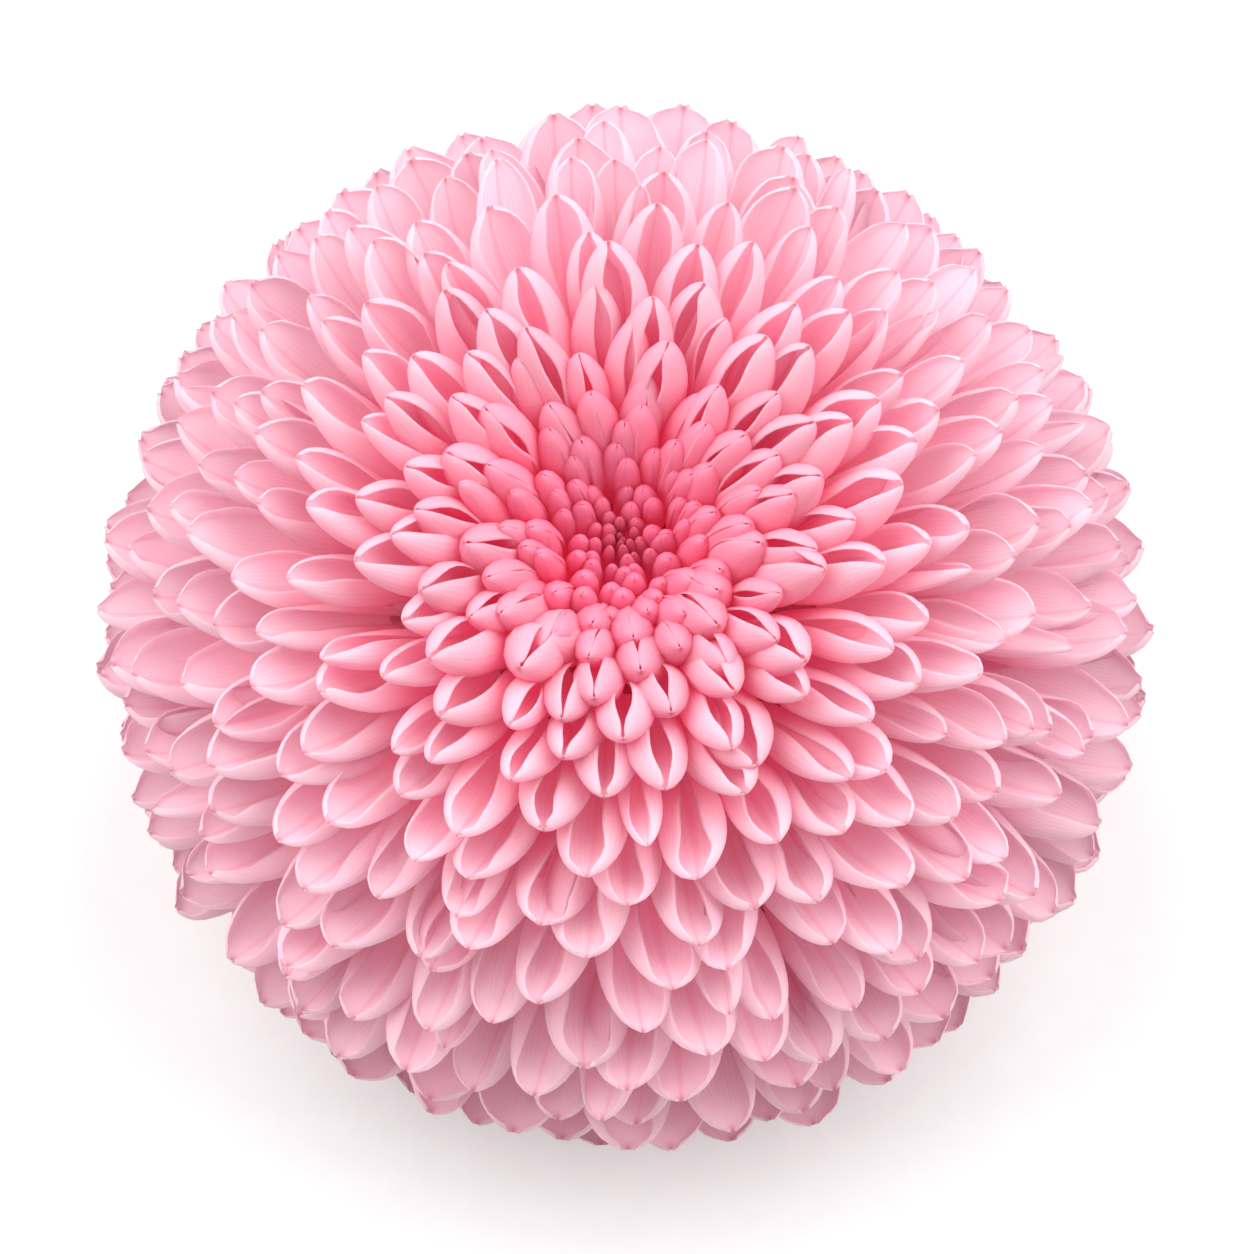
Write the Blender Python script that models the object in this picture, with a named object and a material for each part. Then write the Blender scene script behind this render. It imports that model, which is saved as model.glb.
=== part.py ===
"""A pompon chrysanthemum bloom, picked with a short stub of stem and resting on its lowest florets.

The head is a ball of strap-shaped ray florets with a dimpled eye on top. They spring from a small
solid receptacle in a golden-angle spiral: closed and tiny at the eye, boat-shaped and broad at the
widest ring, and long and flat underneath. Below them sits the green involucre, rows of bracts on a
shallow cup, with the cut stem.

Metres, +Z up. The head's axis is Z and the bloom rests on z = 0.
"""
import bmesh
import bpy
import numpy as np
from mathutils import Vector

MM = 0.001
GOLDEN_ANGLE = np.pi * (3.0 - 5.0 ** 0.5)

# The ball on which the floret tips lie, by polar angle from the top
HEAD_RADIUS = 47.5 * MM
HEAD_SQUASH = 0.90
EYE_DEPTH = 0.33
EYE_WIDTH = np.radians(19.0)
CENTRE_HEIGHT = 33.4 * MM
LAST_FLORET = np.radians(146.0)

# Spacing of the florets: tight at the eye, opening along the surface, and wider underneath
SPACING_FULL = 9.3 * MM
SPACING_GROWTH = 24.0 * MM
SPACING_START = 3.0 * MM
SPACING_UNDER = 0.45

# Lean of a floret's tip over the ball's own angle, outward on the shoulder and inward at the eye
LEAN = np.radians(32.0)
LEAN_RISE = np.radians(22.0)
LEAN_END = np.radians(150.0)
INCURVE = np.radians(34.0)
INCURVE_RISE = np.radians(10.0)
TIP_STEEPEST = np.radians(128.0)
TIP_EASE = np.radians(8.0)
ROOT_STEEPEST = np.radians(105.0)
ROOT_EASE = np.radians(12.0)

# Length of a floret, and its width and depth as shares of the spacing
LENGTH_EYE = 11.0 * MM
LENGTH_FULL = 20.0 * MM
LENGTH_RISE = 22.0 * MM
LENGTH_UNDER = 5.0 * MM
WIDTH_SHARE = 0.92
DEPTH_CLOSED = 0.86
DEPTH_OPEN = 0.70
DEPTH_ROOM = 0.80
EDGE_RISE = 0.72
HOLLOW_SHARE = 0.62
LEAST_THICKNESS = 0.7 * MM
OPENING_START = 9.0 * MM
OPENING_SPAN = 26.0 * MM

# Stations along a floret, as (share of its length, share of its full width); a tip follows
SHOULDER_STATIONS = ((0.0, 0.25), (0.68, 0.97), (0.88, 0.84))
EYE_STATIONS = ((0.0, 0.35), (0.80, 1.0))
EYE_REACH = 15.0 * MM
UNDER_STATIONS = ((0.0, 0.50), (0.80, 0.95))
UNDER_ANGLE = np.radians(102.0)

# Small differences from floret to floret
SEED = 21
TIP_WOBBLE = 0.020
LEAN_WOBBLE = np.radians(3.0)
TURN_WOBBLE = np.radians(5.0)
WIDTH_WOBBLE = 0.05

# Receptacle: the ball of tips scaled down, with a conical underside and a flat seat
CORE_SHARE = 0.70
CORE_SIDES = 10
CORE_ANGLES = np.radians([0.0, 18.0, 40.0, 65.0, 92.0, 118.0])
SEAT_RADIUS = 11.5 * MM
SEAT_HEIGHT = 6.9 * MM

# Involucre: a turned cup with two rows of bracts, and the stem's stub
GAP = 0.3 * MM
CUP_RADIUS = 8.0 * MM
CUP_SIDES = 24
CUP_EDGE_HEIGHT = 5.8 * MM
CUP_WAIST_RADIUS = 5.6 * MM
CUP_WAIST_HEIGHT = 4.7 * MM
STEM_RADIUS = 2.6 * MM
STEM_TOP = 4.2 * MM
STEM_CUT = 1.2 * MM
BRACT_COUNT = 12
BRACT_DEPTH = 1.0 * MM
BRACT_HOLLOW = 0.3 * MM
BRACT_STATIONS = ((0.0, 0.40), (0.60, 1.0))
# Each row's root and tip as (radius, height), its bracts' width and its turn in shares of a place
BRACT_ROWS = (
    ((5.8 * MM, 4.8 * MM), (12.2 * MM, 5.2 * MM), 4.8 * MM, 0.0),
    ((3.4 * MM, 3.9 * MM), (9.2 * MM, 3.7 * MM), 3.6 * MM, 0.5),
)

PINK = (0.84, 0.36, 0.48, 1.0)
GREEN = (0.19, 0.28, 0.09, 1.0)


def head_profile(angle):
    """Radius from the axis and height over the ball's centre of the surface of tips: an ellipse of
    revolution whose reach is cut by a Gaussian dip at the eye."""
    reach = HEAD_RADIUS * (1.0 - EYE_DEPTH * np.exp(-((angle / EYE_WIDTH) ** 2)))
    return reach * np.sin(angle), HEAD_SQUASH * reach * np.cos(angle)


def head_lattice():
    """Polar angle, azimuth, distance along the surface, spacing and surface normal of each floret.
    A floret takes a hexagonal cell of the local spacing, so the count grows by area over cell, and
    each floret is turned from the one before by the golden angle."""
    angle = np.linspace(0.0, LAST_FLORET, 4000)
    radius, height = head_profile(angle)
    step = np.hypot(np.diff(radius), np.diff(height))
    along = np.concatenate([[0.0], np.cumsum(step)])
    under = np.clip((angle - np.pi / 2) / (LAST_FLORET - np.pi / 2), 0.0, 1.0)
    spacing = SPACING_FULL * (1.0 - np.exp(-(along + SPACING_START) / SPACING_GROWTH))
    spacing = spacing * (1.0 + SPACING_UNDER * under ** 2)
    density = 2.0 * np.pi * radius / (spacing ** 2 * np.sqrt(0.75))
    count = np.concatenate([[0.0], np.cumsum((density[1:] + density[:-1]) / 2 * step)])
    facing = np.unwrap(np.arctan2(-np.gradient(height, along), np.gradient(radius, along)))
    number = np.arange(int(count[-1])) + 0.5
    polar = np.interp(number, count, angle)
    found = [np.interp(polar, angle, values) for values in (along, spacing, facing)]
    return polar, number * GOLDEN_ANGLE, *found


def levelled(angle, steepest, ease):
    """The angle itself while it is small, easing to the steepest one allowed."""
    return steepest - ease * np.logaddexp(0.0, (steepest - angle) / ease)


def tip_lean(polar):
    """Angle of a floret's tip from +Z: the ball's own angle, more on the shoulder, less at the eye."""
    outward = LEAN * (1.0 - np.exp(-((polar / LEAN_RISE) ** 2))) * (1.0 - (polar / LEAN_END) ** 2)
    inward = INCURVE * np.exp(-((polar / INCURVE_RISE) ** 2))
    return levelled(polar + outward - inward, TIP_STEEPEST, TIP_EASE)


def keel_path(tip, start, end, length, shares):
    """A floret's keel in its upright plane, turning evenly from its start angle at the root to its
    end angle at the tip. Gives radius, height and angle at each share of the length."""
    fine = np.linspace(0.0, 1.0, 41)
    angle = start + (end - start) * fine
    step = length / (len(fine) - 1)
    middle = (angle[1:] + angle[:-1]) / 2
    radius = np.concatenate([[0.0], np.cumsum(np.sin(middle) * step)])
    height = np.concatenate([[0.0], np.cumsum(np.cos(middle) * step)])
    radius = np.interp(shares, fine, radius) + tip[0] - radius[-1]
    height = np.interp(shares, fine, height) + tip[1] - height[-1]
    return radius, height, np.interp(shares, fine, angle)


def blade_mesh(path, turn, azimuth, stations, width, depth, hollow):
    """A blade along a keel path: at each station the keel, two side edges, and a middle point that
    lies under the edges where the blade is hollow and over them where it is closed. The first
    stretch keeps one direction, so its sides are flat."""
    radius, height, angle = path
    angle = np.concatenate([[angle[1]], angle[1:]])
    twist = turn * angle / angle[-1] if angle[-1] else angle * 0.0
    points = []
    for i, (_, share) in enumerate(stations):
        inner = np.array([-np.cos(angle[i]), 0.0, np.sin(angle[i])])
        side = np.array([0.0, 1.0, 0.0])
        lift = inner * np.cos(twist[i]) + side * np.sin(twist[i])
        across = side * np.cos(twist[i]) - inner * np.sin(twist[i])
        keel = np.array([radius[i], 0.0, height[i]])
        half = across * width * share / 2
        edge = keel + lift * EDGE_RISE * depth * share
        points += [keel, edge - half, keel + lift * (depth - hollow) * share, edge + half]
    points.append(np.array([radius[-1], 0.0, height[-1]]))
    points = np.array(points)
    cosine, sine = np.cos(azimuth), np.sin(azimuth)
    points = points @ np.array([[cosine, sine, 0.0], [-sine, cosine, 0.0], [0.0, 0.0, 1.0]])
    faces = [(0, 1, 2, 3)]
    last = 4 * (len(stations) - 1)
    for first in range(0, last, 4):
        for j in range(4):
            k = (j + 1) % 4
            faces.append((first + k, first + j, first + 4 + j, first + 4 + k))
    for j in range(4):
        faces.append((last + (j + 1) % 4, last + j, len(points) - 1))
    mesh = bpy.data.meshes.new("blade")
    mesh.from_pydata([tuple(point) for point in points], [], faces)
    return mesh


def turned_mesh(name, profile, sides):
    """A solid of revolution: a profile of (radius, height) from the top down, whose first point is
    on the axis, closed by a flat cap at its last ring."""
    turn = np.arange(sides) * 2.0 * np.pi / sides
    points = [(0.0, 0.0, profile[0][1])]
    for radius, height in profile[1:]:
        points += [(radius * np.cos(t), radius * np.sin(t), height) for t in turn]
    faces = [(0, 1 + j, 1 + (j + 1) % sides) for j in range(sides)]
    last = 1 + (len(profile) - 2) * sides
    for first in range(1, last, sides):
        for j in range(sides):
            k = (j + 1) % sides
            faces.append((first + j, first + sides + j, first + sides + k, first + k))
    faces.append(tuple(last + sides - 1 - j for j in range(sides)))
    mesh = bpy.data.meshes.new(name)
    mesh.from_pydata(points, [], faces)
    return mesh


def keep_outer_shell(mesh):
    """Fills the small hollows that the union sealed, and drops loose scraps, by keeping only the
    shell with the most faces."""
    shells = bmesh.new()
    shells.from_mesh(mesh)
    left = set(shells.faces)
    largest = set()
    while left:
        shell = {left.pop()}
        edge_of = list(shell)
        while edge_of:
            face = edge_of.pop()
            beside = {other for edge in face.edges for other in edge.link_faces} & left
            left -= beside
            shell |= beside
            edge_of += beside
        if len(shell) > len(largest):
            largest = shell
    extra = [face for face in shells.faces if face not in largest]
    bmesh.ops.delete(shells, geom=extra, context="FACES")
    shells.to_mesh(mesh)
    shells.free()


def grown_object(name, body, blades, material):
    """The body with every blade joined to it by one Boolean union on a collection."""
    piece = bpy.data.objects.new(name, body)
    bpy.context.scene.collection.objects.link(piece)
    group = bpy.data.collections.new("blades")
    bpy.context.scene.collection.children.link(group)
    for blade in blades:
        group.objects.link(bpy.data.objects.new("blade", blade))
    union = piece.modifiers.new("union", "BOOLEAN")
    union.operation = "UNION"
    union.operand_type = "COLLECTION"
    union.collection = group
    union.solver = "MANIFOLD"
    bpy.context.view_layer.update()
    fused = bpy.data.meshes.new_from_object(piece.evaluated_get(bpy.context.evaluated_depsgraph_get()))
    piece.modifiers.remove(union)
    keep_outer_shell(fused)
    piece.data = fused
    fused.name = name
    fused.materials.clear()
    fused.materials.append(material)
    for blade in list(group.objects):
        bpy.data.objects.remove(blade)
    bpy.data.collections.remove(group)
    return piece


def petal_material():
    material = bpy.data.materials.new("pink_petal")
    material.use_nodes = True
    shader = material.node_tree.nodes["Principled BSDF"]
    shader.inputs["Base Color"].default_value = PINK
    shader.inputs["Roughness"].default_value = 0.55
    shader.inputs["Metallic"].default_value = 0.0
    return material


def bract_material():
    material = bpy.data.materials.new("green_bract")
    material.use_nodes = True
    shader = material.node_tree.nodes["Principled BSDF"]
    shader.inputs["Base Color"].default_value = GREEN
    shader.inputs["Roughness"].default_value = 0.60
    shader.inputs["Metallic"].default_value = 0.0
    return material


def receptacle_mesh():
    """The solid that the florets grow from."""
    radius, height = head_profile(CORE_ANGLES)
    profile = list(zip(radius * CORE_SHARE, height * CORE_SHARE + CENTRE_HEIGHT))
    profile.append((SEAT_RADIUS, SEAT_HEIGHT))
    return turned_mesh("receptacle", profile, CORE_SIDES)


def floret_blades():
    """One blade for each place in the lattice, with its own small differences."""
    polar, azimuth, along, spacing, facing = head_lattice()
    wobble = np.random.default_rng(SEED).uniform(-1.0, 1.0, (4, len(polar)))
    radius, height = head_profile(polar) * (1.0 + TIP_WOBBLE * wobble[0])
    end = tip_lean(polar) + LEAN_WOBBLE * wobble[1]
    start = levelled(polar, ROOT_STEEPEST, ROOT_EASE)
    turn = TURN_WOBBLE * wobble[2]
    below = np.clip(2.0 * polar / np.pi - 1.0, 0.0, 1.0)
    length = LENGTH_FULL - (LENGTH_FULL - LENGTH_EYE) * np.exp(-along / LENGTH_RISE)
    length = length + LENGTH_UNDER * below
    opening = np.clip((along - OPENING_START) / OPENING_SPAN, 0.0, 1.0)
    width = WIDTH_SHARE * spacing * (1.0 + WIDTH_WOBBLE * wobble[3])
    room = DEPTH_ROOM * spacing * np.cos(end - facing)
    depth = np.minimum(width * (DEPTH_CLOSED + (DEPTH_OPEN - DEPTH_CLOSED) * opening), room)
    hollow = np.minimum(HOLLOW_SHARE * depth * opening, depth - LEAST_THICKNESS)
    blades = []
    for i in range(len(polar)):
        stations = SHOULDER_STATIONS
        if along[i] < EYE_REACH:
            stations = EYE_STATIONS
        elif polar[i] > UNDER_ANGLE:
            stations = UNDER_STATIONS
        shares = [share for share, _ in stations] + [1.0]
        tip = (radius[i], height[i] + CENTRE_HEIGHT)
        path = keel_path(tip, start[i], end[i], length[i], shares)
        path = (path[0], np.maximum(path[1], 0.0), path[2])
        blades.append(blade_mesh(path, turn[i], azimuth[i], stations, width[i], depth[i], hollow[i]))
    return blades


def cup_mesh():
    """The involucre's cup and the stem's stub in one turned solid, a gap below the seat."""
    top = SEAT_HEIGHT - GAP
    profile = [(0.0, top), (CUP_RADIUS, top), (CUP_RADIUS, CUP_EDGE_HEIGHT)]
    profile += [(CUP_WAIST_RADIUS, CUP_WAIST_HEIGHT), (STEM_RADIUS, STEM_TOP), (STEM_RADIUS, STEM_CUT)]
    return turned_mesh("cup", profile, CUP_SIDES)


def bract_blades():
    """The rows of bracts, each a shallow blade from the cup outward, like tiles."""
    blades = []
    for root, tip, width, offset in BRACT_ROWS:
        run, climb = tip[0] - root[0], tip[1] - root[1]
        angle = np.arctan2(run, climb)
        shares = [share for share, _ in BRACT_STATIONS] + [1.0]
        path = keel_path(tip, angle, angle, np.hypot(run, climb), shares)
        for j in range(BRACT_COUNT):
            azimuth = (j + offset) * 2.0 * np.pi / BRACT_COUNT
            blades.append(blade_mesh(path, 0.0, azimuth, BRACT_STATIONS, width, BRACT_DEPTH, BRACT_HOLLOW))
    return blades


def centred_on_floor(pieces):
    """Hangs the pieces on an empty that puts the middle of their box over the origin, on z = 0."""
    corners = np.array([vertex.co[:] for piece in pieces for vertex in piece.data.vertices])
    low, high = corners.min(axis=0), corners.max(axis=0)
    head = bpy.data.objects.new("head_axis", None)
    bpy.context.scene.collection.objects.link(head)
    head.location = Vector((-(low[0] + high[0]) / 2, -(low[1] + high[1]) / 2, -low[2]))
    for piece in pieces:
        piece.parent = head


for leftover in list(bpy.data.objects):
    bpy.data.objects.remove(leftover)

floret_head = grown_object("floret_head", receptacle_mesh(), floret_blades(), petal_material())
involucre = grown_object("involucre", cup_mesh(), bract_blades(), bract_material())
centred_on_floor([floret_head, involucre])
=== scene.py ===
# %% [markdown]
# # A pompon chrysanthemum bloom
#
# The bloom is a ball of some six hundred and sixty ray florets. Each floret is one petal rolled
# into a boat: shut like a bud at the eye, open like a coffee bean on the shoulder, and nearly flat
# underneath. The imported model already has the ball, its size and its resting place. This file
# grows a finer floret for each place on it, and gives petals, bracts and stem their finish.
#
# The first lines load the imported model. Nothing here may outgrow it.

import bpy
import numpy as np
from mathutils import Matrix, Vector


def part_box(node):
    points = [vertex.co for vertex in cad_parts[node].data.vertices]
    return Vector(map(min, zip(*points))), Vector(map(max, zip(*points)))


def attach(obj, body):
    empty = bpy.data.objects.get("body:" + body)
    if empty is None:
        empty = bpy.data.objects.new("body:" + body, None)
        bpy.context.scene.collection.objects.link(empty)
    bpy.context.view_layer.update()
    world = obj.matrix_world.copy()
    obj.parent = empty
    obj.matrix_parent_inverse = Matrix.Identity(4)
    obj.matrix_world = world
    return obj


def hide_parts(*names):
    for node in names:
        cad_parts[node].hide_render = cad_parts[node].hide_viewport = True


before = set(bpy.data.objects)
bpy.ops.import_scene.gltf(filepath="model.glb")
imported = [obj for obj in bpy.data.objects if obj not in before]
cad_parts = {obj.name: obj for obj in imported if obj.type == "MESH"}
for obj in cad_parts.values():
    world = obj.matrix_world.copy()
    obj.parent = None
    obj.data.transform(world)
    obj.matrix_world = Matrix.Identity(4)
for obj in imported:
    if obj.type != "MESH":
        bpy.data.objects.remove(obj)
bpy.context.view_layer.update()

MM = 0.001
print("nodes:", sorted(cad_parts))

# %% [markdown]
# ## Camera
#
# The bloom is seen from above, a little to its front: 74.5 degrees over the floor. It fills about
# four fifths of the frame from a bit under half a metre, so the lens is a long one, and the eye
# sits above the middle of the picture because the bloom's axis leans away from the line of sight.

# %% Camera
CENTRE_HEIGHT = 33.4 * MM
VIEW_ELEVATION = np.radians(74.5)
VIEW_DISTANCE = 430 * MM
VIEW_LENS = 134
PHOTO_SIZE = 1254
AIM_ABOVE_MIDDLE = 2
CLIP_START = 10 * MM

camera = bpy.data.objects.new("camera", bpy.data.cameras.new("camera"))
bpy.context.scene.collection.objects.link(camera)
bpy.context.scene.camera = camera
camera.data.lens = VIEW_LENS
camera.data.shift_y = -AIM_ABOVE_MIDDLE / PHOTO_SIZE
camera.data.clip_start = CLIP_START
camera.location = (
    0.0,
    -VIEW_DISTANCE * np.cos(VIEW_ELEVATION),
    CENTRE_HEIGHT + VIEW_DISTANCE * np.sin(VIEW_ELEVATION),
)
camera.rotation_euler = (np.pi / 2 - VIEW_ELEVATION, 0.0, 0.0)
print("camera at", [round(x, 3) for x in camera.location])

# %% [markdown]
# ## The ball of tips
#
# The floret tips lie on a surface of revolution: a slightly squashed ball with a dimple on top,
# the eye. A polar angle of 0 is the middle of the eye and 90 degrees is near the widest ring. The
# dimple is a Gaussian dip in the ball's reach, which is smooth and needs only a depth and a width.

# %% Ball of tips
HEAD_RADIUS = 47.5 * MM
HEAD_SQUASH = 0.90
EYE_DEPTH = 0.33
EYE_WIDTH = np.radians(19.0)


def head_profile(angle):
    """Radius from the axis and height over the ball's centre: the reach is the head's radius less
    a Gaussian dip at the eye, and the height is squashed."""
    reach = HEAD_RADIUS * (1.0 - EYE_DEPTH * np.exp(-((angle / EYE_WIDTH) ** 2)))
    return reach * np.sin(angle), HEAD_SQUASH * reach * np.cos(angle)


print("eye lies", round(HEAD_SQUASH * HEAD_RADIUS * (1 - EYE_DEPTH) / MM, 1), "mm over the centre")

# %% [markdown]
# ## Where the florets stand
#
# New florets form at the eye one by one, each turned from the last by the golden angle, and are
# pushed outward as they grow. That could be simulated, but counting area is enough: a floret takes
# a hexagonal cell as wide as the local spacing, so the number of florets inside a ring is the area
# there over the cell's area. Turning that count round gives the ring on which floret n stands.

# %% Floret places
GOLDEN_ANGLE = np.pi * (3.0 - 5.0 ** 0.5)
LAST_FLORET = np.radians(146.0)
SPACING_FULL = 7.25 * MM
SPACING_GROWTH = 22.0 * MM
SPACING_START = 3.2 * MM
SPACING_UNDER = 0.45
RING_SAMPLES = 4000
# A hexagonal cell's area over the square of its width
HEXAGON_AREA = np.sqrt(0.75)


def floret_places():
    """Polar angle, azimuth, distance along the surface and spacing for each floret. The spacing
    grows from the eye by a law of diminishing growth, and again under the widest ring."""
    angle = np.linspace(0.0, LAST_FLORET, RING_SAMPLES)
    radius, height = head_profile(angle)
    step = np.hypot(np.diff(radius), np.diff(height))
    along = np.concatenate([[0.0], np.cumsum(step)])
    under = np.clip((angle - np.pi / 2) / (LAST_FLORET - np.pi / 2), 0.0, 1.0)
    spacing = SPACING_FULL * (1.0 - np.exp(-(along + SPACING_START) / SPACING_GROWTH))
    spacing = spacing * (1.0 + SPACING_UNDER * under ** 2)
    density = 2.0 * np.pi * radius / (spacing ** 2 * HEXAGON_AREA)
    count = np.concatenate([[0.0], np.cumsum((density[1:] + density[:-1]) / 2 * step)])
    number = np.arange(int(count[-1])) + 0.5
    polar = np.interp(number, count, angle)
    return polar, number * GOLDEN_ANGLE, np.interp(polar, angle, along), np.interp(polar, angle, spacing)


polar, azimuth, along, spacing = floret_places()
axis = (np.array(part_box("involucre")[0]) + np.array(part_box("involucre")[1]))[:2] / 2.0
print(len(polar), "florets,", round(spacing.min() / MM, 1), "to", round(spacing.max() / MM, 1), "mm apart,",
      "round an axis at", np.round(axis / MM, 2), "mm")

# %% [markdown]
# ## How the florets lean, and how long they are
#
# At the eye the tips bow in over the middle. On the shoulder they lean out past the ball's own
# direction, so that each row lies on the next like tiles, and underneath they hang at one slope.
# A short table of angles says this more plainly than a formula, and numpy fills in between.

# %% Lean and length
# Degrees from straight up at which a tip points, by degrees of polar angle
LEAN_ANGLES = (0.0, 5.0, 10.0, 14.0, 20.0, 27.0, 35.0, 45.0, 55.0, 70.0, 85.0, 100.0, 120.0, 146.0)
LEAN_TIPS = (0.0, -7.0, -3.0, 5.0, 22.0, 41.0, 56.0, 69.0, 80.0, 93.0, 105.0, 114.0, 122.0, 127.0)
ROOT_STEEPEST = np.radians(105.0)
ROOT_EASE = np.radians(12.0)
LENGTH_EYE = 11.0 * MM
LENGTH_FULL = 20.0 * MM
LENGTH_RISE = 22.0 * MM
LENGTH_UNDER = 5.0 * MM


def levelled(angle, steepest, ease):
    """The angle itself while it is small, easing to the steepest one allowed."""
    return steepest - ease * np.logaddexp(0.0, (steepest - angle) / ease)


tip_lean = np.interp(np.degrees(polar), LEAN_ANGLES, LEAN_TIPS)
root_lean = levelled(polar, ROOT_STEEPEST, ROOT_EASE)
below = np.clip(2.0 * polar / np.pi - 1.0, 0.0, 1.0)
length = LENGTH_FULL - (LENGTH_FULL - LENGTH_EYE) * np.exp(-along / LENGTH_RISE) + LENGTH_UNDER * below
print("tips lean from", round(tip_lean.min()), "to", round(tip_lean.max()), "degrees")

# %% [markdown]
# ## Small differences
#
# No two florets are alike, so each gets small differences from a seeded draw, which gives the same
# bloom every time. About one in fourteen is an odd one: short, narrow and twisted, as where the
# crowd has pinched it. On the left and right shoulders a floret also turns about its own length, up
# toward the light. Lean and sway grow with the distance to the eye, where all are still packed.

# %% Small differences
SEED = 21
# Azimuth and place as shares of the spacing, lean in degrees, and the rest as shares or angles
TURN_SPREAD, PLACE_SPREAD, LEAN_SPREAD = 0.30, 0.22, 6.5
REACH_MIDDLE, REACH_SPREAD = 0.992, 0.018
LENGTH_SPREAD, SWAY_SPREAD, TWIST_SPREAD = 0.06, 0.09, np.radians(13.0)
GROWN_LENGTH = 12.0 * MM
LEAST_RADIUS = 2.0 * MM
ODD_SHARE, ODD_FROM, ODD_LENGTH, ODD_TWIST = 0.07, 12 * MM, 0.9, np.radians(26.0)
LIGHTWARD, LIGHTWARD_START, LIGHTWARD_END = np.radians(18.0), np.radians(12.0), np.radians(45.0)


def smooth_step(value, start, end):
    """0 up to the start, 1 from the end on, and between them three squares less two cubes."""
    share = np.clip((value - start) / (end - start), 0.0, 1.0)
    return share * share * (3.0 - 2.0 * share)


random = np.random.default_rng(SEED)
wobble = dict(zip(("reach", "lean", "twist", "roll", "width", "tone", "turn", "place", "sway", "skew", "length"),
                  random.uniform(-1.0, 1.0, (11, len(polar)))))
odd = (random.uniform(0.0, 1.0, len(polar)) < ODD_SHARE) & (along > ODD_FROM)
grown = 1.0 - np.exp(-along / GROWN_LENGTH)

ring_radius = np.maximum(head_profile(polar)[0], LEAST_RADIUS)
azimuth = azimuth + TURN_SPREAD * spacing / ring_radius * wobble["turn"]
tip_radius, tip_height = head_profile(polar + PLACE_SPREAD * spacing / HEAD_RADIUS * wobble["place"])
shift = REACH_MIDDLE + REACH_SPREAD * wobble["reach"]
tip_radius, tip_height = tip_radius * shift, tip_height * shift + CENTRE_HEIGHT
end_lean = np.radians(tip_lean + LEAN_SPREAD * wobble["lean"] * grown)
length = length * (1.0 + LENGTH_SPREAD * wobble["length"]) * np.where(odd, ODD_LENGTH, 1.0)
twist = TWIST_SPREAD * wobble["twist"] + np.where(odd, ODD_TWIST, 0.0) * np.sign(wobble["twist"])
twist = twist + LIGHTWARD * np.cos(azimuth) * smooth_step(polar, LIGHTWARD_START, LIGHTWARD_END)
sway = SWAY_SPREAD * length * wobble["sway"] * grown
print("lengths", round(length.min() / MM, 1), "to", round(length.max() / MM, 1), "mm;", odd.sum(), "odd ones")

# %% [markdown]
# ## The keel
#
# A floret's keel, the line along its back, is a circular arc in the upright plane through the
# bloom's axis. An arc that ends at the tip needs no adding up: the chord from any point of an arc
# to its end has the arc's length times sinc of half the turn, and points along the mean angle.

# %% Keel
ALONG = np.array([0.0, 0.34, 0.56, 0.74, 0.87, 0.96, 1.0])


def keel(shares):
    """Radius, height and angle of each floret's keel at shares of its length: the tip less the
    chord that is still to come, whose length is arc times sinc of half the turn."""
    left = 1.0 - shares
    turn = (end_lean - root_lean)[:, None] * left
    chord = length[:, None] * left * np.sinc(turn / (2.0 * np.pi))
    middle = end_lean[:, None] - turn / 2.0
    radius = tip_radius[:, None] - chord * np.sin(middle)
    height = tip_height[:, None] - chord * np.cos(middle)
    return radius, height, end_lean[:, None] - turn


keel_radius, keel_height, keel_angle = keel(ALONG)
print("roots reach in to", round(keel_radius[:, 0].min() / MM, 1), "mm from the axis")

# %% [markdown]
# ## How far the flaps roll
#
# A floret's two flaps roll up from the keel. The roll is the angle that a flap has turned through at
# its rim: at 180 degrees the rims meet, which makes a bud or a tube, a little over 90 the flaps lean
# in over a boat, and under 90 the petal is a gutter. Along a floret the roll is tight at the root
# and opens like a quarter circle, which makes the mouth an oval. Across the bloom the mouths open
# from the eye outward. The photograph shows wider ones at the sides and the far side, so these
# open by some degrees more.

# %% Roll
BOAT_START, BOAT_END = np.radians(18.0), np.radians(50.0)
MOUTH_LENGTH = 0.30
BUD_SHUT_FROM = 0.85
ROLL_SPREAD = 15.0
SIDE_OPEN = np.radians(10.0)
FAR_OPEN = np.radians(32.0)
# Share of the length where the mouth starts, by degrees of polar angle
MOUTH_ANGLES = (20.0, 40.0, 60.0, 90.0, 120.0)
MOUTH_STARTS = (0.58, 0.52, 0.46, 0.38, 0.30)
# Degrees of roll at the mouth and at the root, by degrees of polar angle
ROLL_ANGLES = (15.0, 22.0, 30.0, 40.0, 50.0, 65.0, 80.0, 95.0, 115.0, 146.0)
ROLL_MOUTH = (186.0, 164.0, 160.0, 159.0, 156.0, 150.0, 143.0, 130.0, 102.0, 70.0)
ROLL_ROOT = (186.0, 180.0, 180.0, 180.0, 180.0, 178.0, 174.0, 162.0, 125.0, 84.0)

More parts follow.
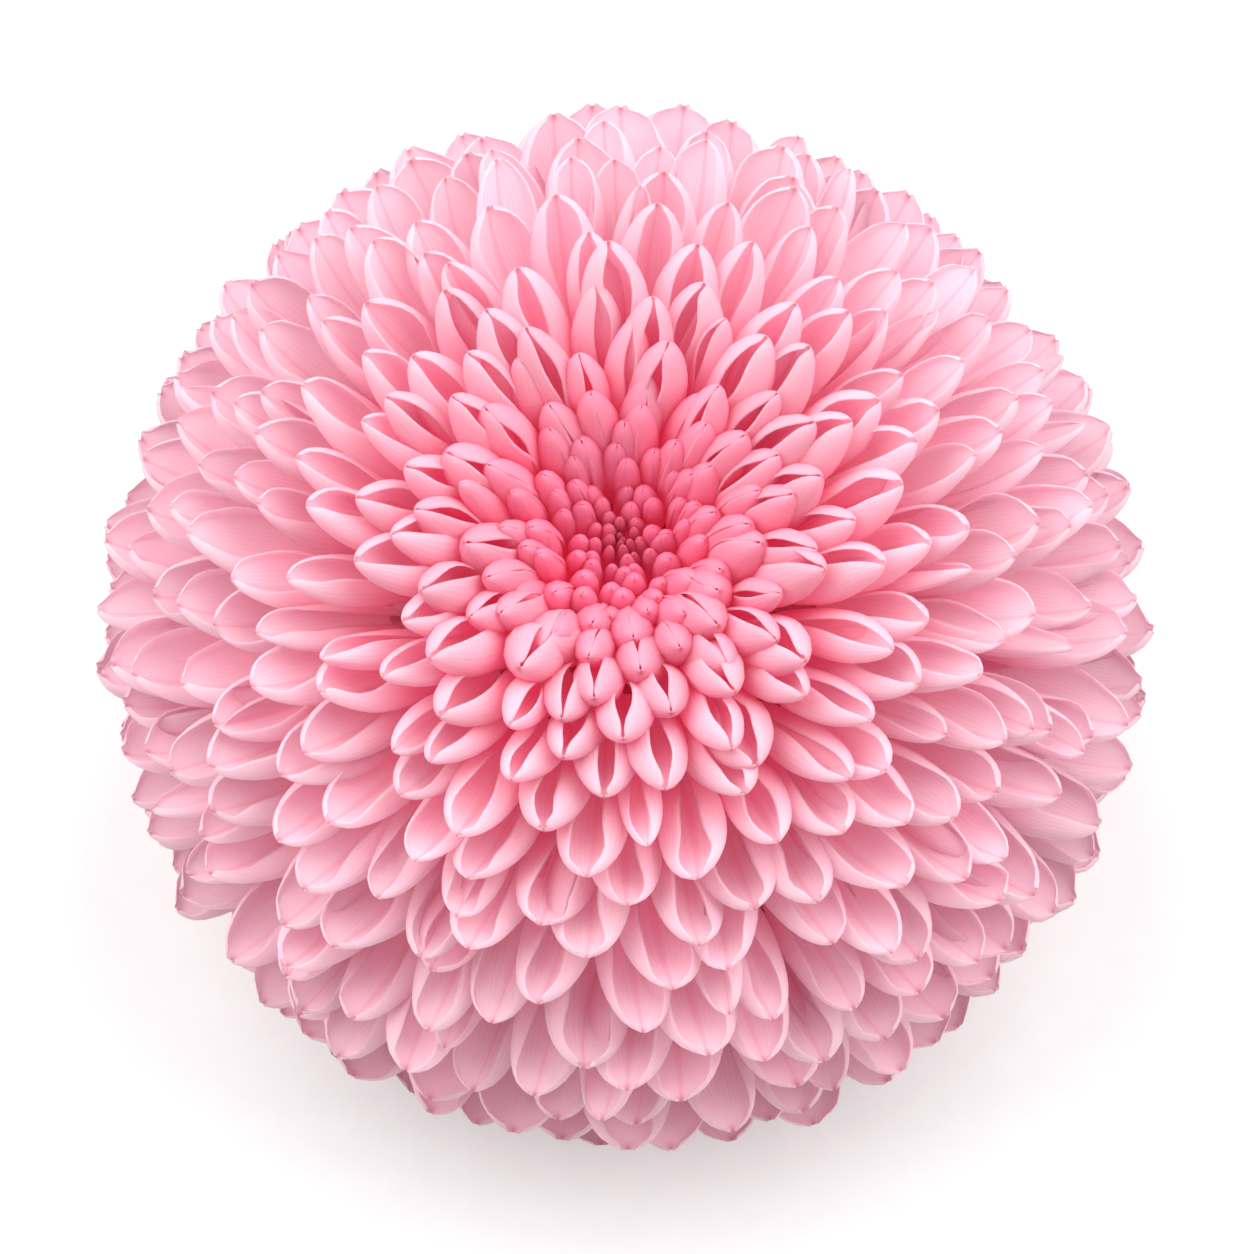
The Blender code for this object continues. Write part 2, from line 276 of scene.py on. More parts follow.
boat = smooth_step(polar, BOAT_START, BOAT_END)
roll_mouth = np.interp(np.degrees(polar), ROLL_ANGLES, ROLL_MOUTH)
roll_mouth = np.radians(roll_mouth + ROLL_SPREAD * wobble["roll"] * boat)
roll_root = np.radians(np.interp(np.degrees(polar), ROLL_ANGLES, ROLL_ROOT))
wider = SIDE_OPEN * np.cos(azimuth) ** 2 + FAR_OPEN * (1.0 + np.sin(azimuth)) / 2.0
roll_mouth = roll_mouth - wider * boat ** 2
mouth_start = np.interp(np.degrees(polar), MOUTH_ANGLES, MOUTH_STARTS)[:, None]
opened = np.sqrt(1.0 - np.clip(1.0 - (ALONG - mouth_start) / MOUTH_LENGTH, 0.0, 1.0) ** 2)
opened = opened * (1.0 - (1.0 - boat)[:, None] * smooth_step(ALONG, BUD_SHUT_FROM, 1.0))
roll = roll_root[:, None] + (roll_mouth - roll_root)[:, None] * opened
print("roll at the mouths from", round(np.degrees(roll_mouth.min())), "to", round(np.degrees(roll_mouth.max())))

# %% [markdown]
# ## How wide the florets are
#
# A floret is narrow at its root, widest at three fifths, and rounds off to a blunt tip. Its width
# follows the local spacing, and is a little more than that, because neighbours overlap. The two
# powers in the tip's formula turn an ellipse's end into a blunter or a more pointed one.

# %% Width
WIDTH_SHARE = 1.08
WIDTH_AT_EYE = 0.98
WIDTH_GROWTH = 16.0 * MM
WIDTH_SPREAD, ODD_WIDTH = 0.16, 0.75
WIDEST_BUD, WIDEST_BOAT = 0.60, 0.58
ROOT_WIDTH = 0.48
TIP_WIDTH = 0.09
BUD_POWERS, BOAT_POWERS = (2.0, 0.60), (2.2, 0.68)
FLAT_ROOT = 0.52
FLAT_START, FLAT_END = np.radians(75.0), np.radians(115.0)
OUTER_WIDTH = 0.14
OUTER_START, OUTER_END = np.radians(35.0), np.radians(80.0)


def tip_closing(shares, widest, power, root):
    """Share of the width that is left past the widest place: one less a power of the way to the
    tip, and a root of that. Powers 2 and 0.5 give an ellipse's end, lower and higher ones a point."""
    fall = np.clip((shares - widest) / (1.0 - widest), 0.0, 1.0)
    return TIP_WIDTH + (1.0 - TIP_WIDTH) * (1.0 - fall ** power) ** root


widest = (WIDEST_BUD + (WIDEST_BOAT - WIDEST_BUD) * boat)[:, None]
power, root = (bud + (end - bud) * boat[:, None] for bud, end in zip(BUD_POWERS, BOAT_POWERS))
flat = smooth_step(polar, FLAT_START, FLAT_END)[:, None]
root = root + (FLAT_ROOT - root) * flat
closing = tip_closing(ALONG, widest, power, root)
full_width = (WIDTH_SHARE + (WIDTH_AT_EYE - WIDTH_SHARE) * np.exp(-along / WIDTH_GROWTH)) * spacing
full_width = full_width * (1.0 + OUTER_WIDTH * smooth_step(polar, OUTER_START, OUTER_END))
full_width = full_width * (1.0 + WIDTH_SPREAD * wobble["width"]) * np.where(odd, ODD_WIDTH, 1.0)
half_strip = closing * (ROOT_WIDTH + (1.0 - ROOT_WIDTH) * smooth_step(ALONG, 0.0, widest))
print("widths", round(full_width.min() / MM, 1), "to", round(full_width.max() / MM, 1), "mm")

# %% [markdown]
# ## The rolled section
#
# Across a floret the petal is a strip that turns as it goes out from the keel. In a bud it turns
# evenly, which makes a round section. In a boat the turn starts some way out and ends before the
# rim, which makes a flat bottom, a round bilge and a straight flap, and the boat is shallower than
# a bud because its neighbours press on it. The turn is added up in small steps, for either flap
# with a roll of its own: on the left and right of the bloom the flap on the far side stands up and
# shows its inner face. The loop takes 7 points of the strip on the outer face and 7 on the inner.

# %% Section
STEPS = 40
FOLD_STEP, BILGE_STEP = 13, 27
PLACES = np.array([STEPS, BILGE_STEP, FOLD_STEP, 0, FOLD_STEP, BILGE_STEP, STEPS])
SIDES = np.array([-1.0, -1.0, -1.0, 0.0, 1.0, 1.0, 1.0])
PLACES, SIDES = np.concatenate([PLACES, PLACES[::-1]]), np.concatenate([SIDES, SIDES[::-1]])
LOOP = SIDES * PLACES / STEPS
INNER = np.repeat([0.0, 1.0], len(PLACES) // 2)
BOTTOM, BILGE_END = 0.14, 0.92
REACH_SHARE = 0.35
SKEW = np.radians(13.0)
SIDE_SKEW = np.radians(11.0)
DEPTH_BUD, DEPTH_BOAT = 1.05, 0.66


def strip_section(roll, reach, half):
    """Side, rise and turn at the loop's places, and the greatest side, for one flap. The turn is
    even in a bud, and in a boat a smooth step of the distance from the keel; its cosines and sines
    add up to the strip."""
    out = np.linspace(0.0, 1.0, STEPS + 1) * reach[..., None]
    late = boat[:, None, None]
    turn = roll[..., None] * (out + (smooth_step(out, BOTTOM, BILGE_END) - out) * late)
    middle = (turn[..., 1:] + turn[..., :-1]) / 2.0
    strip = np.cumsum(np.stack([np.cos(middle), np.sin(middle)]), axis=-1) * (half / STEPS)[..., None]
    strip = np.concatenate([np.zeros_like(strip[..., :1]), strip], axis=-1)
    most = np.broadcast_to(strip[0].max(axis=-1, keepdims=True), (*strip.shape[1:-1], len(PLACES)))
    return strip[0][..., PLACES], strip[1][..., PLACES], turn[..., PLACES], most


reach = 1.0 + (closing - 1.0) * REACH_SHARE * boat[:, None]
skew = ((SKEW * wobble["skew"] - SIDE_SKEW * np.cos(azimuth)) * boat)[:, None]
flaps = [strip_section(roll + skew * way, reach, half_strip) for way in (-1.0, 1.0)]
side, rise, turn, most = np.where(SIDES < 0.0, flaps[0], flaps[1])
scale = full_width[:, None, None] / 2.0 / most.max(axis=(1, 2), keepdims=True)
depth = (DEPTH_BUD + (DEPTH_BOAT - DEPTH_BUD) * boat)[:, None, None]
print("boats are", round(DEPTH_BOAT / DEPTH_BUD, 2), "times as deep as buds of the same width")

# %% [markdown]
# ## Thickness, creases and wandering rims
#
# The inner face lies a petal's thickness in from the outer one, least at the rims, and never so
# far in that the two sides of a narrow root would cross. A crease runs down the middle, or two
# beside it in the flat florets, where the petal's three lobes have grown together. The rims wander
# a little. The keel lifts at the tip, right over a bud as a hood and less in a boat, and bellies
# out before it. A Solidify modifier could give the thickness, but not one that changes along it.

# %% Thickness, creases and rims
THICKNESS = 0.42 * MM
RIM_THIN = 0.5
THICKEST_SHARE = 0.4
CREASE, FOLD = 0.07, 0.04
CREASE_START, CREASE_END = 0.2, 0.8
# The rims' wander: its size, what is left of it in a bud, and how near the rims it keeps
RIM_WAVE, WAVE_IN_BUD, RIM_ONLY = 0.045, 0.35, 8
BELLY, BELLY_POWER = 0.16, 1.5
HOOD_BUD, HOOD_BOAT = 0.34, 0.18
LOBE, LOBE_TURNS, LOBES_FROM = 0.012, 1.7, 0.8
TIP_ROUND = 0.06

flat = flat[..., None]
crease = CREASE * (1.0 - flat) * boat[:, None, None] * (PLACES == 0) + FOLD * flat * (PLACES == FOLD_STEP)
most_thick = THICKEST_SHARE * half_strip[..., None] * scale
thickness = np.minimum(THICKNESS * (1.0 - RIM_THIN * np.abs(LOOP)), most_thick)
pressed = smooth_step(ALONG, CREASE_START, CREASE_END)[:, None]
inset = thickness * INNER - crease * full_width[:, None, None] * pressed
side = SIDES * (side * scale - inset * np.sin(turn))
rise = rise * scale * depth + inset * np.cos(turn)

drift = random.uniform(-1.0, 1.0, (2, 2, len(polar), len(ALONG), 1))
drift = np.where(LOOP < 0.0, drift[:, 0], drift[:, 1]) * np.abs(LOOP) ** RIM_ONLY
drift = drift * (WAVE_IN_BUD + (1.0 - WAVE_IN_BUD) * boat[:, None, None])
side, rise = np.stack([side, rise]) + drift * RIM_WAVE * full_width[:, None, None]
lift = (HOOD_BUD + (HOOD_BOAT - HOOD_BUD) * boat)[:, None] * (1.0 - closing)
lift = lift - BELLY * np.sin(np.pi * ALONG ** BELLY_POWER)
rise = rise + (lift * full_width[:, None])[..., None]
lobes = TIP_ROUND * (1.0 - LOOP ** 2) - LOBE * np.cos(LOBE_TURNS * np.pi * np.abs(LOOP))
ahead = full_width[:, None, None] * lobes * smooth_step(ALONG, LOBES_FROM, 1.0)[:, None]
print("floret 300 is", round(float(np.ptp(side[300])) / MM, 1), "mm wide")

# %% [markdown]
# ## Setting the florets in place
#
# Each section is put on its keel, across and above it, with the floret's own twist growing toward
# the tip, and its sway to one side with it. The whole set is then turned round the axis to each
# floret's azimuth. The lowest florets lie on the floor: a height under it is eased up to it, which
# flattens them there as their weight does.

# %% Florets in place
FLOOR_EASE = 0.25 * MM


def placed_florets():
    """Points by floret, station and loop place: keel plus rise along the lift and side along the
    breadth, both turned by the twist, plus the tip's lobes along the keel."""
    angle = keel_angle[..., None]
    turn = (twist[:, None] * ALONG)[..., None]
    lift_in = rise * np.cos(turn) - side * np.sin(turn)
    lift_side = rise * np.sin(turn) + side * np.cos(turn) + (sway[:, None] * ALONG ** 2)[..., None]
    radius = keel_radius[..., None] - lift_in * np.cos(angle) + ahead * np.sin(angle)
    height = keel_height[..., None] + lift_in * np.sin(angle) + ahead * np.cos(angle)
    cosine, sine = np.cos(azimuth)[:, None, None], np.sin(azimuth)[:, None, None]
    points = [radius * cosine - lift_side * sine, radius * sine + lift_side * cosine, height]
    return np.stack(points, axis=-1)


def rounding_cage(targets):
    """Points that Subdivision Surface, which moves each one an eighth of the way toward either
    neighbour along both grid lines, brings back onto the targets: found by adding what is short
    four times over."""
    cage = targets.copy()
    for _ in range(4):
        moved = 0.75 * cage + (np.roll(cage, 1, axis=2) + np.roll(cage, -1, axis=2)) / 8.0
        rounded = moved.copy()
        rounded[:, 1:-1] = 0.75 * moved[:, 1:-1] + (moved[:, :-2] + moved[:, 2:]) / 8.0
        cage = cage + targets - rounded
    return cage


florets = rounding_cage(placed_florets())
florets[..., :2] += axis
florets[..., 2] = FLOOR_EASE * np.logaddexp(florets[..., 2] / FLOOR_EASE, 0.0)
print("florets span", np.round(np.ptp(florets.reshape(-1, 3), axis=0) / MM, 1), "mm")

# %% [markdown]
# ## From grids to meshes
#
# A floret is a closed skin: 6 rows of 14 quads round it, and 6 quads that close the root and the
# tip between the outer and the inner face, 96 faces in all. One level of Subdivision Surface
# rounds them. Each vertex also carries what the finish needs to know, as triples of numbers. The
# place is how far its floret stands from the eye in millimetres, and its share of the way from
# root to tip and from keel to rim. The vein is its place across the flat petal in millimetres and
# a start of the floret's own. The look says whether it is on the inner face, the floret's own tone,
# and how far across the petal the nearest crease is.

# %% Floret meshes
# Radians by which a floret's veins start to one side, at the greatest tone of its own
VEIN_SHIFT = 3.0


def blade_faces(blade):
    """The quads of one blade of (row, loop place) points: round the loop from row to row, then the
    root's and the tip's ends. They face outwards: the volume inside them, by the divergence theorem
    the sum over triangles of corner dot cross product over 6, is above zero."""
    rows, around = blade.shape[:2]
    row, place = np.meshgrid(np.arange(rows - 1), np.arange(around), indexing="ij")
    here, after = row * around + place, row * around + (place + 1) % around
    skin = np.stack([here, after, after + around, here + around], axis=-1)
    j = np.arange(around // 2 - 1)
    root = np.stack([j, around - 1 - j, around - 2 - j, j + 1], axis=-1)
    faces = np.concatenate([skin.reshape(-1, 4), root, (rows - 1) * around + root[:, ::-1]])
    a, b, c, d = (blade.reshape(-1, 3)[faces[:, k]] for k in range(4))
    volume = (np.einsum("ij,ij", a, np.cross(b, c)) + np.einsum("ij,ij", a, np.cross(c, d))) / 6.0
    print(len(faces), "faces round", round(abs(volume) / MM ** 3, 1), "cubic mm")
    return faces if volume > 0 else faces[:, ::-1]


def surface_object(name, points, faces, values, level):
    """An object from points, faces and named triples of values at the points, shaded smooth, with
    one Subdivision Surface where a level is given."""
    mesh = bpy.data.meshes.new(name)
    mesh.from_pydata(points.tolist(), [], faces)
    for key, value in values.items():
        triples = mesh.attributes.new(key, "FLOAT_VECTOR", "POINT")
        triples.data.foreach_set("vector", value.astype(np.float32).ravel())
    mesh.shade_smooth()
    piece = bpy.data.objects.new(name, mesh)
    bpy.context.scene.collection.objects.link(piece)
    if level:
        smooth = piece.modifiers.new("rounding", "SUBSURF")
        smooth.levels = smooth.render_levels = level
    return piece


def blades_object(name, blades, values):
    """One object of many blades, with triples of values by (blade, row, loop place), rounded by one
    level."""
    faces = blade_faces(blades[0])
    faces = faces[None] + (np.arange(len(blades)) * blades[0, ..., 0].size)[:, None, None]
    values = {key: np.stack([np.broadcast_to(value, blades.shape[:3]) for value in three], axis=-1)
              for key, three in values.items()}
    return surface_object(name, blades.reshape(-1, 3), faces.reshape(-1, 4).tolist(), values, 1)


def floret_piece(name, chosen):
    """One object of the chosen florets, with the values that the petal's finish reads."""
    own = wobble["tone"][chosen][:, None, None]
    values = {
        "place": ((along[chosen] / MM)[:, None, None], ALONG[:, None], np.abs(LOOP)),
        "vein": ((full_width[chosen] / MM)[:, None, None] * LOOP, VEIN_SHIFT * own, 0.0),
        "look": (INNER, own, np.abs(np.abs(LOOP) - flat[chosen] * FOLD_STEP / STEPS)),
    }
    return blades_object(name, florets[chosen], values)


# %% [markdown]
# ## Finishes: two helpers
#
# Colours are written as the hex values that a colour picker shows, which are in sRGB, and Blender
# shades in linear light. One function turns the one into the other. A second one adds a shader
# node with its settings and its inputs, where an input is either a value or another node's output.

# %% Helpers for finishes
def linear(code):
    """Linear RGBA of an sRGB hex code: each channel under 0.04045 over 12.92, else the power law."""
    srgb = np.array([int(code[i:i + 2], 16) for i in (1, 3, 5)]) / 255.0
    rgb = np.where(srgb <= 0.04045, srgb / 12.92, ((srgb + 0.055) / 1.055) ** 2.4)
    return (*rgb, 1.0)


def add(tree, kind, inputs, **settings):
    """A node of that kind: settings first, then each input set to a value or linked to an output."""
    made = tree.nodes.new(kind)
    for key, value in settings.items():
        setattr(made, key, value)
    for key, value in inputs.items():
        if isinstance(value, bpy.types.NodeSocket):
            tree.links.new(value, made.inputs[key])
        else:
            made.inputs[key].default_value = value
    return made


def new_finish(name):
    """A material of that name, and its node tree, empty."""
    material = bpy.data.materials.new(name)
    material.use_nodes = True
    material.node_tree.nodes.clear()
    return material, material.node_tree


def set_ramp(ramp, stops):
    """Puts (position, hex) stops into a colour ramp."""
    elements = ramp.color_ramp.elements
    while len(elements) < len(stops):
        elements.new(0.5)
    for element, (position, code) in zip(elements, stops):
        element.position = position
        element.color = linear(code)


print("helper check:", [round(x, 3) for x in linear("#f8acc1")[:3]])

# %% [markdown]
# ## Petal finish: the ground colours
#
# A chrysanthemum petal is thin living tissue: cells full of pink sap under a skin of tiny domes. The pink is
# strongest at the eye, where the florets are young, and fades outward. Under the widest ring it turns darker and
# greyer: partly the underside's own mauve, partly painted shade where the underside faces away from the light. All
# this could be painted on an image, but here it depends on the distance to the eye alone, so a colour ramp over
# that distance says it, one for the outer face and one for the inner. Away from the eye the inner ramp is paler,
# which is painted light: it stands in for the light that bounces into the florets' hollows. Toward the root both
# turn to one fresh pink, where the petal has grown in the dark.

# %% Ground colours
RING_SPAN = 110.0
# Past 60 mm the stops darken: partly the underside's own mauve, partly painted shade of the underside
RING_STOPS = (
    (0.0, "#d85a7c"), (1.5, "#f389a9"), (3.5, "#fb98bb"), (7.0, "#fc99bb"), (13.0, "#fc9fbc"), (24.0, "#fcc8d7"),
    (40.0, "#fad9e3"), (60.0, "#f6d7e2"), (85.0, "#e8c2ce"), (110.0, "#d8acbc"),
)
# From about 13 mm out these are paler than the outer stops: painted light for the light that bounces into the
# hollows
INNER_STOPS = (
    (0.0, "#c04c78"), (1.5, "#e274a2"), (3.5, "#f48ab4"), (7.0, "#fc9bbf"), (13.0, "#ffbdd3"), (24.0, "#ffe4ed"),
    (40.0, "#fee6ee"), (60.0, "#f9e2ea"), (85.0, "#e8c6d2"), (110.0, "#d8aebe"),
)
BASE_COLOUR, BASE_START, BASE_FULL, BASE_SHARE = "#fdacc4", 0.85, 0.25, 0.35


def petal_places(tree):
    """The numbers that the florets' vertices carry, each by its name, and the distance from the
    eye as a share of the ramps' span."""
    triples = {"place": ("from_eye", "toward_tip", "toward_rim"), "look": ("inner_face", "own", "from_crease"),
               "vein": ("across", "phase")}
    read = {}
    for key, names in triples.items():
        triple = add(tree, "ShaderNodeAttribute", {}, attribute_name=key).outputs["Vector"]
        read.update(zip(names, add(tree, "ShaderNodeSeparateXYZ", {"Vector": triple}).outputs))
    read["ring"] = add(tree, "ShaderNodeMath", {0: read["from_eye"], 1: RING_SPAN}, operation="DIVIDE").outputs[0]
    return read


def ground_colour(tree, read):
    """The ramp of the outer or the inner face, mixed with the base colour toward the root."""
    back = add(tree, "ShaderNodeValToRGB", {"Fac": read["ring"]})
    set_ramp(back, [(place / RING_SPAN, code) for place, code in RING_STOPS])
    front = add(tree, "ShaderNodeValToRGB", {"Fac": read["ring"]})
    set_ramp(front, [(place / RING_SPAN, code) for place, code in INNER_STOPS])
    colour = add(tree, "ShaderNodeMix", {"Factor": read["inner_face"], 6: back.outputs[0], 7: front.outputs[0]},
                 data_type="RGBA").outputs[2]
    base = add(tree, "ShaderNodeMapRange", {
        "Value": read["toward_tip"], "From Min": BASE_START, "From Max": BASE_FULL,
        "To Min": 0.0, "To Max": BASE_SHARE,
    }, interpolation_type="SMOOTHSTEP").outputs[0]
    return add(tree, "ShaderNodeMix", {"Factor": base, 6: colour, 7: linear(BASE_COLOUR)},
               data_type="RGBA").outputs[2]


print("ground colours:", len(RING_STOPS), "outside and", len(INNER_STOPS), "inside")

# %% [markdown]
# ## Petal finish: veins, rims, tips and creases
#
# Veins run from root to tip, about half a millimetre apart. A noise texture could draw them, but two sine waves
# across the petal, with gaps that don't fit each other, look uneven enough and follow every twist. The rims are
# only a few cells thick and look pale. The tip ends in a small red point. A darker pink line along the crease on
# the inner face is painted shade, deepening the fold that the coarse mesh shades too softly. Veins, pale rims and
# the painted crease shade come in with the distance to the eye, because the buds don't show them.

# %% Veins, rims, tips and creases
VEIN_GAPS = (0.55, 0.34)
VEIN_SHADE, TONE_SPREAD = 0.026, 0.05
# Millimetres from the eye over which veins, rims and creases come in, and their least share
GROWN_START, GROWN_FULL, GROWN_LEAST = 10.0, 32.0, 0.1
# Where each mark starts, from root to tip or from keel to rim, and its share where it is full
RIM_COLOUR, RIM_START, RIM_SHARE = "#fce0ea", 0.5, 0.30
DOT_COLOUR, DOT_START, DOT_SIDE, DOT_SHARE = "#c4324a", 0.96, 0.3, 0.6
# The crease line is painted shade: a darker pink along the fold on the inner face
CREASE_SHADE_COLOUR, CREASE_SHADE_SIDE, CREASE_SHADE_SHARE = "#f27a9c", 0.07, 0.25


def vein_waves(tree, read):
    """One sine wave across the flat petal for each gap, started at the floret's own place."""
    waves = []
    for gap in VEIN_GAPS:
        angle = add(tree, "ShaderNodeMath", {0: read["across"], 1: 2.0 * np.pi / gap, 2: read["phase"]},
                    operation="MULTIPLY_ADD").outputs[0]
        waves.append(add(tree, "ShaderNodeMath", {0: angle}, operation="SINE").outputs[0])
    return waves


def marked_colour(tree, read, waves, colour):
    """The ground colour, shaded by the veins and the floret's own tone, with the pale rim, the tip's point and the
    painted shade along the crease mixed over it."""
    grown = add(tree, "ShaderNodeMapRange", {
        "Value": read["from_eye"], "From Min": GROWN_START, "From Max": GROWN_FULL,
        "To Min": GROWN_LEAST, "To Max": 1.0,
    }).outputs[0]
    vein = add(tree, "ShaderNodeMath", {0: waves[0], 1: waves[1]}, operation="ADD").outputs[0]
    shown = add(tree, "ShaderNodeMath", {0: vein, 1: grown}, operation="MULTIPLY").outputs[0]
    shade = add(tree, "ShaderNodeMath", {0: shown, 1: VEIN_SHADE, 2: 1.0}, operation="MULTIPLY_ADD").outputs[0]
    tone = add(tree, "ShaderNodeMath", {0: read["own"], 1: TONE_SPREAD, 2: shade},
               operation="MULTIPLY_ADD").outputs[0]
    colour = add(tree, "ShaderNodeVectorMath", {0: colour, "Scale": tone}, operation="SCALE").outputs[0]
    rim = add(tree, "ShaderNodeMapRange", {
        "Value": read["toward_rim"], "From Min": RIM_START, "From Max": 1.0, "To Min": 0.0, "To Max": RIM_SHARE,
    }, interpolation_type="SMOOTHSTEP").outputs[0]
    pale = add(tree, "ShaderNodeMath", {0: rim, 1: grown}, operation="MULTIPLY").outputs[0]
    colour = add(tree, "ShaderNodeMix", {"Factor": pale, 6: colour, 7: linear(RIM_COLOUR)},
                 data_type="RGBA").outputs[2]
    near_tip = add(tree, "ShaderNodeMapRange", {
        "Value": read["toward_tip"], "From Min": DOT_START, "From Max": 1.0, "To Min": 0.0, "To Max": DOT_SHARE,
    }, interpolation_type="SMOOTHSTEP").outputs[0]
    near_fold = add(tree, "ShaderNodeMapRange", {
        "Value": read["toward_rim"], "From Min": DOT_SIDE, "From Max": 0.0, "To Min": 0.0, "To Max": 1.0,
    }, interpolation_type="SMOOTHSTEP").outputs[0]
    dot = add(tree, "ShaderNodeMath", {0: near_tip, 1: near_fold}, operation="MULTIPLY").outputs[0]
    colour = add(tree, "ShaderNodeMix", {"Factor": dot, 6: colour, 7: linear(DOT_COLOUR)},
                 data_type="RGBA").outputs[2]
    # Painted shade: a darker pink line along the crease of the inner face
    line = add(tree, "ShaderNodeMapRange", {
        "Value": read["from_crease"], "From Min": CREASE_SHADE_SIDE, "From Max": 0.0,
        "To Min": 0.0, "To Max": CREASE_SHADE_SHARE,
    }).outputs[0]
    line = add(tree, "ShaderNodeMath", {0: line, 1: read["inner_face"]}, operation="MULTIPLY").outputs[0]
    line = add(tree, "ShaderNodeMath", {0: line, 1: grown}, operation="MULTIPLY").outputs[0]
    return add(tree, "ShaderNodeMix", {"Factor": line, 6: colour, 7: linear(CREASE_SHADE_COLOUR)},
               data_type="RGBA").outputs[2]


print("veins every", VEIN_GAPS, "mm")

# %% [markdown]
# ## Petal finish: soaked light
#
# Light that enters one face of a petal leaves the other, so petals glow where light is behind them.
# Deep in the crowd it has passed through many petals and comes out pink and faint. That many passes are costly to
# follow, so a faint painted glow, an emission of the same colour, stands in for them: near the roots, most round
# the eye, and on the inner faces, red at the eye and paler outward, where fewer petals lie in the light's way, and
# dimmer again on the underside.

# %% Soaked light
SOAKED_LIGHT = 0.12
SOAKED_COLOUR = "#ff5480"
SOAKED_STOPS = ((12.0, "#ff5480"), (46.0, "#ffaac6"), (56.0, "#ffaac6"), (84.0, "#a0697b"))
DEEP_START, DEEP_FULL = 0.92, 0.6
CROWD_START, CROWD_FULL, CROWD_LEAST = 60.0, 26.0, 0.5


def painted_glow_colour(tree, read):
    """The painted glow's colour: on the outer face one colour by the depth toward the root times the crowd round
    the eye, and on the inner face a ramp over the distance from the eye."""
    deep = add(tree, "ShaderNodeMapRange", {
        "Value": read["toward_tip"], "From Min": DEEP_START, "From Max": DEEP_FULL, "To Min": 0.0, "To Max": 1.0,
    }).outputs[0]
    crowd = add(tree, "ShaderNodeMapRange", {
        "Value": read["from_eye"], "From Min": CROWD_START, "From Max": CROWD_FULL,
        "To Min": CROWD_LEAST, "To Max": 1.0,
    }).outputs[0]
    deep = add(tree, "ShaderNodeMath", {0: deep, 1: crowd}, operation="MULTIPLY").outputs[0]
    soaked = add(tree, "ShaderNodeMix", {"Factor": deep, 6: linear("#000000"), 7: linear(SOAKED_COLOUR)},
                 data_type="RGBA").outputs[2]
    within = add(tree, "ShaderNodeValToRGB", {"Fac": read["ring"]})
    set_ramp(within, [(place / RING_SPAN, code) for place, code in SOAKED_STOPS])
    return add(tree, "ShaderNodeMix", {"Factor": read["inner_face"], 6: soaked, 7: within.outputs[0]},
               data_type="RGBA").outputs[2]


print("soaked light of", SOAKED_LIGHT)

# %% [markdown]
# ## Petal finish: satin skin
#
# The domes of the skin give it a satin look with no clear mirror image, so the roughness is about a
# half, and wet cell walls bend light a little more than water does. The relief follows the wider
# vein wave. The skin is mixed with a translucent share, for the light that comes straight through
# one petal: it is cheaper than light scattered under the skin, and a petal is too thin to need that.

# %% Petal finish
RELIEF_STRENGTH, RELIEF_HEIGHT = 0.3, 0.02 * MM
SKIN_ROUGHNESS, SKIN_IOR = 0.52, 1.42
GLOW = 0.40


def petal_finish():
    """Satin petal tissue: the marked colour on skin and see-through share, and the painted glow of soaked light."""
    material, tree = new_finish("ray_floret_petal_tissue")
    read = petal_places(tree)
    waves = vein_waves(tree, read)
    colour = marked_colour(tree, read, waves, ground_colour(tree, read))
    relief = add(tree, "ShaderNodeBump", {"Height": waves[0], "Strength": RELIEF_STRENGTH,
                                          "Distance": RELIEF_HEIGHT})
    # The emission is a painted glow, standing in for light passed through many petals
    skin = add(tree, "ShaderNodeBsdfPrincipled", {
        "Base Color": colour, "Normal": relief.outputs[0], "Roughness": SKIN_ROUGHNESS, "IOR": SKIN_IOR,
        "Emission Color": painted_glow_colour(tree, read), "Emission Strength": SOAKED_LIGHT,
    })
    through = add(tree, "ShaderNodeBsdfTranslucent", {"Color": colour})
    both = add(tree, "ShaderNodeMixShader", {0: GLOW, 1: skin.outputs[0], 2: through.outputs[0]})
    add(tree, "ShaderNodeOutputMaterial", {"Surface": both.outputs[0]})
    return material


petal = petal_finish()
print("petal finish has", len(petal.node_tree.nodes), "nodes")

# %% [markdown]
# ## The florets, zone by zone
#
# The florets are made in five objects, from the eye outward, so that none grows heavy and each
# can be looked at by itself: shut buds, quills that begin to open, the boats of the shoulder, the
# broad boats of the widest ring, and the flat florets of the underside.

# %% Floret pieces
ZONES = (
    ("eye_buds", 0.0, 14.0),
    ("quilled_florets", 14.0, 32.0),
    ("shoulder_florets", 32.0, 52.0),
    ("rim_florets", 52.0, 74.0),
    ("underside_florets", 74.0, 200.0),
)

for name, nearest, furthest in ZONES:
    chosen = np.flatnonzero((along >= nearest * MM) & (along < furthest * MM))
    piece = floret_piece(name, chosen)
    piece.data.materials.append(petal)
    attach(piece, "root")
    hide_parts("floret_head")
    print(name, "has", len(chosen), "florets")

# %% [markdown]
# ## The receptacle
#
# The florets spring from a solid cushion of tissue, the receptacle. It is hardly seen, only as
# depth between the florets, so a plain turned form is right: a profile carried round the axis.

# %% Turned forms
FROM_AXIS_SPAN = 3.0 * MM


